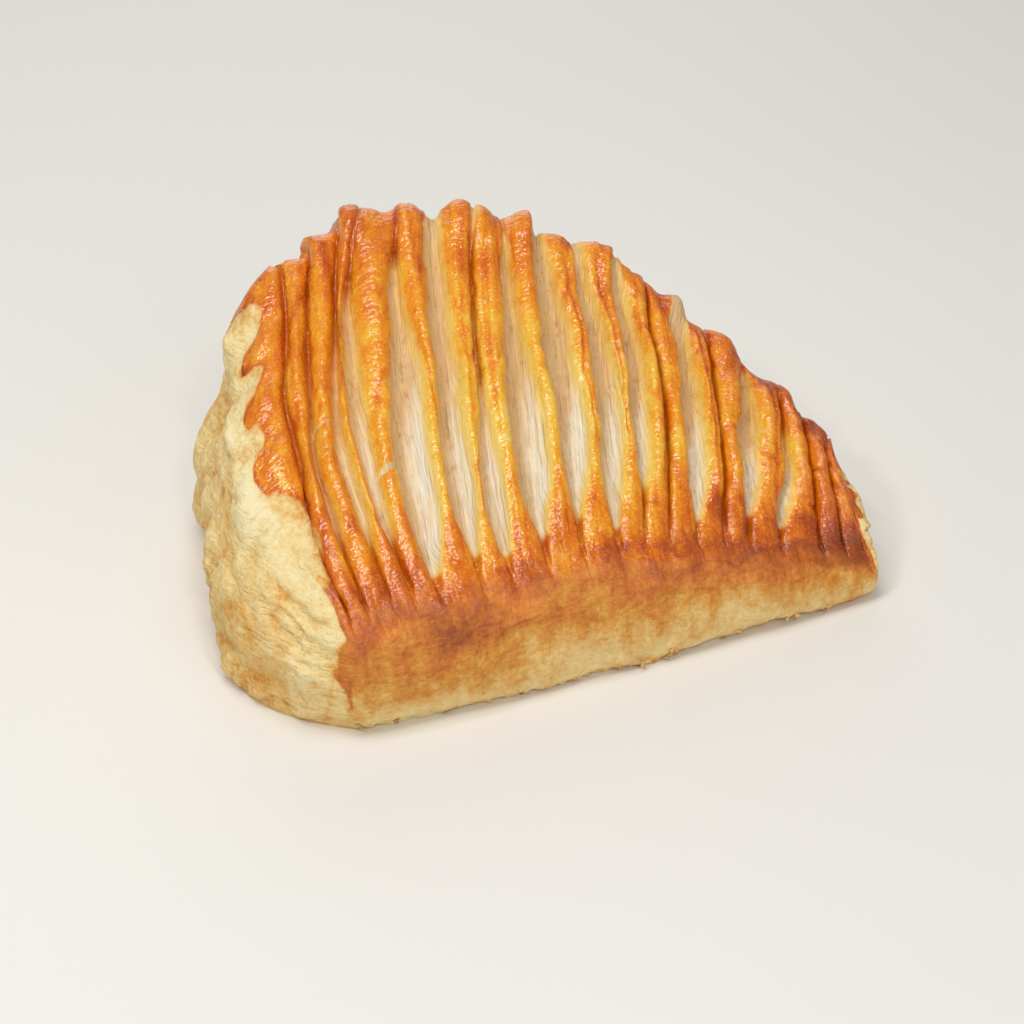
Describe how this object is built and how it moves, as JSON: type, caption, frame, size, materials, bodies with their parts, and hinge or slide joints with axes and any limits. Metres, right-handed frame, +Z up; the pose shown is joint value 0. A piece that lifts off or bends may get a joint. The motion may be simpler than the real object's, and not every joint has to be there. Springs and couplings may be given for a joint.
{
  "type": "apple turnover",
  "caption": "Half-moon puff pastry turnover with a rounded fold, a scored golden top and a tall flaky rim, resting on its flat base.",
  "frame": {"origin": "middle of the flat base, on the surface that the turnover rests on", "axes": "+X along the fold from the blunt end to the narrow end, +Y from the fold back to the rim, +Z up"},
  "size_m": [0.1346, 0.0984, 0.0644],
  "materials": {
    "crust": "baked puff pastry: glossy egg-washed golden ridges, pale dry cut dough in the slits and a matt flaky rim"
  },
  "bodies": {
    "root": {"pastry": "crust"}
  },
  "joints": []
}
